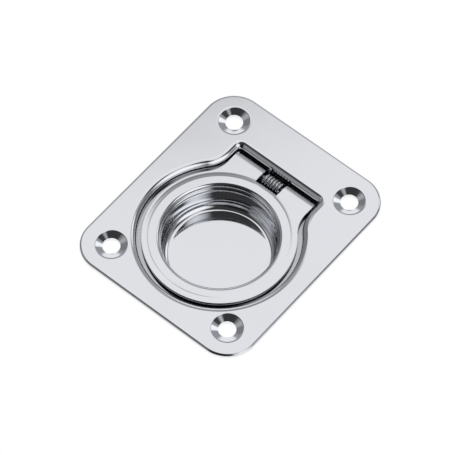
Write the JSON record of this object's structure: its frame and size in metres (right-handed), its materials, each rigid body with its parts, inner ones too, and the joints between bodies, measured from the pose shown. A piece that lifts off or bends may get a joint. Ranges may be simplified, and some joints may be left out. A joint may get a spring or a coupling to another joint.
{
  "type": "flush ring lift handle",
  "caption": "Flush lift handle with a sprung ring pull that hinges in a pressed rectangular base with a finger cup and countersunk screw holes.",
  "frame": {"origin": "centre of the rectangle of screw holes, on the flange's mounting face", "axes": "+X along the hinge pin, +Y from the ring towards the hinge, +Z out of the panel towards the user"},
  "size_m": [0.064, 0.076, 0.0126],
  "materials": {
    "base_sheet": "polished",
    "handle_sheet": "polished",
    "pin_steel": "satin",
    "spring_wire": "bright drawn"
  },
  "bodies": {
    "base": {"base_plate": "base_sheet", "hinge_pin": "pin_steel", "torsion_spring": "spring_wire"},
    "handle": {"ring_handle": "handle_sheet"}
  },
  "joints": [
    {"name": "handle_hinge", "type": "hinge", "parent": "base", "child": "handle", "pos_m": [0, 0.0199, -0.00251], "axis": [-1, 0, 0], "range_deg": [0, 96], "stiffness_Nm_per_rad": 0.02, "springref_deg": -34.38, "deforming": ["torsion_spring"]}
  ]
}
